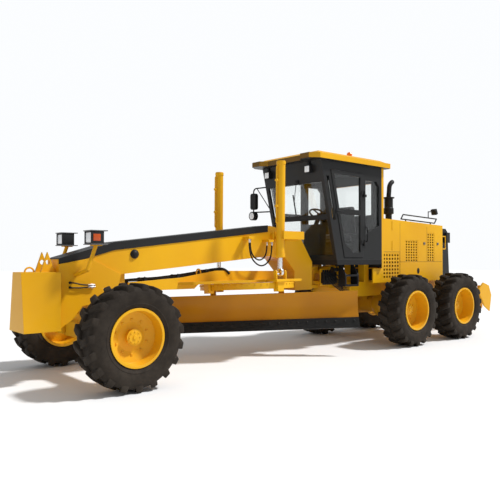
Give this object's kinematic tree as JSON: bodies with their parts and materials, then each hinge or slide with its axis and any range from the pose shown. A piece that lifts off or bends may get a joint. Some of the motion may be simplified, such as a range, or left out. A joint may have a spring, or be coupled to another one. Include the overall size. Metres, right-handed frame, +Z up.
{
  "type": "motor grader",
  "caption": "Articulated road grader with a raised gooseneck frame, turning blade, glazed cab, rear engine hood, tandem drive wheels and a rear ripper.",
  "frame": {"origin": "centre of the bounding box at ground level, under the tyres", "axes": "+X forward to the nose, +Y to the driver's left, +Z up"},
  "size_m": [9.8, 2.59, 3.545],
  "materials": {
    "yellow_paint": "gloss",
    "charcoal_paint": "satin",
    "black_paint": "satin",
    "steel_edge": "worn",
    "chrome_rod": "polished",
    "clear_glass": "clear",
    "seat_fabric": "woven",
    "amber_lens": "clear",
    "hose_rubber": "matte",
    "tyre_rubber": "matte"
  },
  "bodies": {
    "rear_frame": {"rear_frame": "yellow_paint", "rear_axle": "yellow_paint", "tandem_cases": "yellow_paint", "engine_block": "black_paint", "hood": "yellow_paint", "hood_grilles": "yellow_paint", "radiator_housing": "charcoal_paint", "cab_base": "black_paint", "cab_frame": "charcoal_paint", "cab_rear_wall": "yellow_paint", "cab_roof": "yellow_paint", "cab_windows": "clear_glass", "seat": "seat_fabric", "console": "black_paint", "cab_steps": "black_paint", "exhaust": "black_paint", "handrails": "black_paint", "mirrors": "black_paint", "cab_lamps": "black_paint", "beacon": "amber_lens"},
    "front_frame": {"front_frame": "yellow_paint", "top_cover": "charcoal_paint", "nose_block": "yellow_paint", "saddle": "yellow_paint", "headlamps": "charcoal_paint", "lamp_posts": "yellow_paint", "front_axle": "yellow_paint", "saddle_hose_outer": "hose_rubber", "saddle_hose_inner": "hose_rubber"},
    "drawbar": {"drawbar": "yellow_paint"},
    "circle": {"circle": "yellow_paint"},
    "carrier": {"blade_carrier": "yellow_paint"},
    "blade": {"moldboard": "yellow_paint", "cutting_edge": "steel_edge", "shift_rod": "chrome_rod"},
    "lean_left": {"lean_bracket_left": "yellow_paint"},
    "knuckle_left": {"knuckle_left": "yellow_paint"},
    "lean_right": {"lean_bracket_right": "yellow_paint"},
    "knuckle_right": {"knuckle_right": "yellow_paint"},
    "wheel_front_left": {"tyre_front_left": "tyre_rubber", "rim_front_left": "yellow_paint"},
    "wheel_front_right": {"tyre_front_right": "tyre_rubber", "rim_front_right": "yellow_paint"},
    "wheel_mid_left": {"tyre_mid_left": "tyre_rubber", "rim_mid_left": "yellow_paint"},
    "wheel_mid_right": {"tyre_mid_right": "tyre_rubber", "rim_mid_right": "yellow_paint"},
    "wheel_rear_left": {"tyre_rear_left": "tyre_rubber", "rim_rear_left": "yellow_paint"},
    "wheel_rear_right": {"tyre_rear_right": "tyre_rubber", "rim_rear_right": "yellow_paint"},
    "lift_barrel_left": {"lift_barrel_left": "yellow_paint"},
    "lift_rod_left": {"lift_rod_left": "chrome_rod"},
    "lift_barrel_right": {"lift_barrel_right": "yellow_paint"},
    "lift_rod_right": {"lift_rod_right": "chrome_rod"},
    "door_left": {"door_left": "charcoal_paint", "door_glass_left": "clear_glass"},
    "door_right": {"door_right": "charcoal_paint", "door_glass_right": "clear_glass"},
    "ripper": {"ripper": "yellow_paint"}
  },
  "joints": [
    {"name": "articulation", "type": "hinge", "parent": "rear_frame", "child": "front_frame", "pos_m": [-0.2, 0, 1.2], "axis": [0, 0, 1], "range_deg": [-20, 20]},
    {"name": "lean_left", "type": "hinge", "parent": "front_frame", "child": "lean_left", "pos_m": [3.95, 0.64, 0.59], "axis": [1, 0, 0], "range_deg": [-17, 17]},
    {"name": "steer_left", "type": "hinge", "parent": "lean_left", "child": "knuckle_left", "pos_m": [3.95, 0.8, 0.63], "axis": [0, 0, 1], "range_deg": [-45, 45]},
    {"name": "lean_right", "type": "hinge", "parent": "front_frame", "child": "lean_right", "pos_m": [3.95, -0.64, 0.59], "axis": [1, 0, 0], "range_deg": [-17, 17]},
    {"name": "steer_right", "type": "hinge", "parent": "lean_right", "child": "knuckle_right", "pos_m": [3.95, -0.8, 0.63], "axis": [0, 0, 1], "range_deg": [-45, 45]},
    {"name": "spin_front_left", "type": "hinge", "parent": "knuckle_left", "child": "wheel_front_left", "pos_m": [3.95, 1.08, 0.63], "axis": [0, 1, 0], "continuous": true},
    {"name": "spin_front_right", "type": "hinge", "parent": "knuckle_right", "child": "wheel_front_right", "pos_m": [3.95, -1.08, 0.63], "axis": [0, 1, 0], "continuous": true},
    {"name": "spin_mid_left", "type": "hinge", "parent": "rear_frame", "child": "wheel_mid_left", "pos_m": [-1.525, 1.08, 0.63], "axis": [0, 1, 0], "continuous": true},
    {"name": "spin_mid_right", "type": "hinge", "parent": "rear_frame", "child": "wheel_mid_right", "pos_m": [-1.525, -1.08, 0.63], "axis": [0, 1, 0], "continuous": true},
    {"name": "spin_rear_left", "type": "hinge", "parent": "rear_frame", "child": "wheel_rear_left", "pos_m": [-3.075, 1.08, 0.63], "axis": [0, 1, 0], "continuous": true},
    {"name": "spin_rear_right", "type": "hinge", "parent": "rear_frame", "child": "wheel_rear_right", "pos_m": [-3.075, -1.08, 0.63], "axis": [0, 1, 0], "continuous": true},
    {"name": "drawbar_lift", "type": "hinge", "parent": "front_frame", "child": "drawbar", "pos_m": [3.53, 0, 1.15], "axis": [0, -1, 0], "range_deg": [-2.4, 21.5]},
    {"name": "lift_swing_left", "type": "hinge", "parent": "front_frame", "child": "lift_barrel_left", "pos_m": [1.28, 0.77, 1.89], "axis": [0, 1, 0], "range_deg": [-2.99, 0.38]},
    {"name": "lift_stroke_left", "type": "slide", "parent": "lift_barrel_left", "child": "lift_rod_left", "axis": [0, -0.0156, -0.9999], "range_m": [-0.095, 0.843]},
    {"name": "lift_swing_right", "type": "hinge", "parent": "front_frame", "child": "lift_barrel_right", "pos_m": [1.28, -0.77, 1.89], "axis": [0, 1, 0], "range_deg": [-4.05, 0.5]},
    {"name": "lift_stroke_right", "type": "slide", "parent": "lift_barrel_right", "child": "lift_rod_right", "axis": [0, -0.0103, -0.9999], "range_m": [-0.0947, 0.8401]},
    {"name": "circle_turn", "type": "hinge", "parent": "drawbar", "child": "circle", "pos_m": [1.3, 0.00275, 1.09757], "axis": [0, -0.0523, 0.9986], "continuous": true},
    {"name": "blade_tip", "type": "hinge", "parent": "circle", "child": "carrier", "pos_m": [1.13288, -0.17247, 0.63527], "axis": [-0.766, 0.6419, 0.0336], "range_deg": [-5, 40]},
    {"name": "blade_shift", "type": "slide", "parent": "carrier", "child": "blade", "axis": [-0.766, 0.6419, 0.0336], "range_m": [-0.5, 0.5]},
    {"name": "door_left", "type": "hinge", "parent": "rear_frame", "child": "door_left", "pos_m": [-0.728, 0.748, 2.25], "axis": [0, 0, 1], "range_deg": [0, 100]},
    {"name": "door_right", "type": "hinge", "parent": "rear_frame", "child": "door_right", "pos_m": [-0.728, -0.748, 2.25], "axis": [0, 0, -1], "range_deg": [0, 100]},
    {"name": "ripper_lift", "type": "hinge", "parent": "rear_frame", "child": "ripper", "pos_m": [-4.18, 0, 0.76], "axis": [0, -1, 0], "range_deg": [0, 32]}
  ],
  "couplings": [
    {"joint": "lean_right", "follows": "lean_left", "ratio": 1},
    {"joint": "steer_right", "follows": "steer_left", "ratio": 1},
    {"joint": "lift_swing_left", "follows": "drawbar_lift", "ratio": -0.13691},
    {"joint": "lift_stroke_left", "follows": "drawbar_lift", "m_per_rad": 2.244},
    {"joint": "lift_swing_right", "follows": "drawbar_lift", "ratio": -0.18601},
    {"joint": "lift_stroke_right", "follows": "drawbar_lift", "m_per_rad": 2.2361}
  ]
}
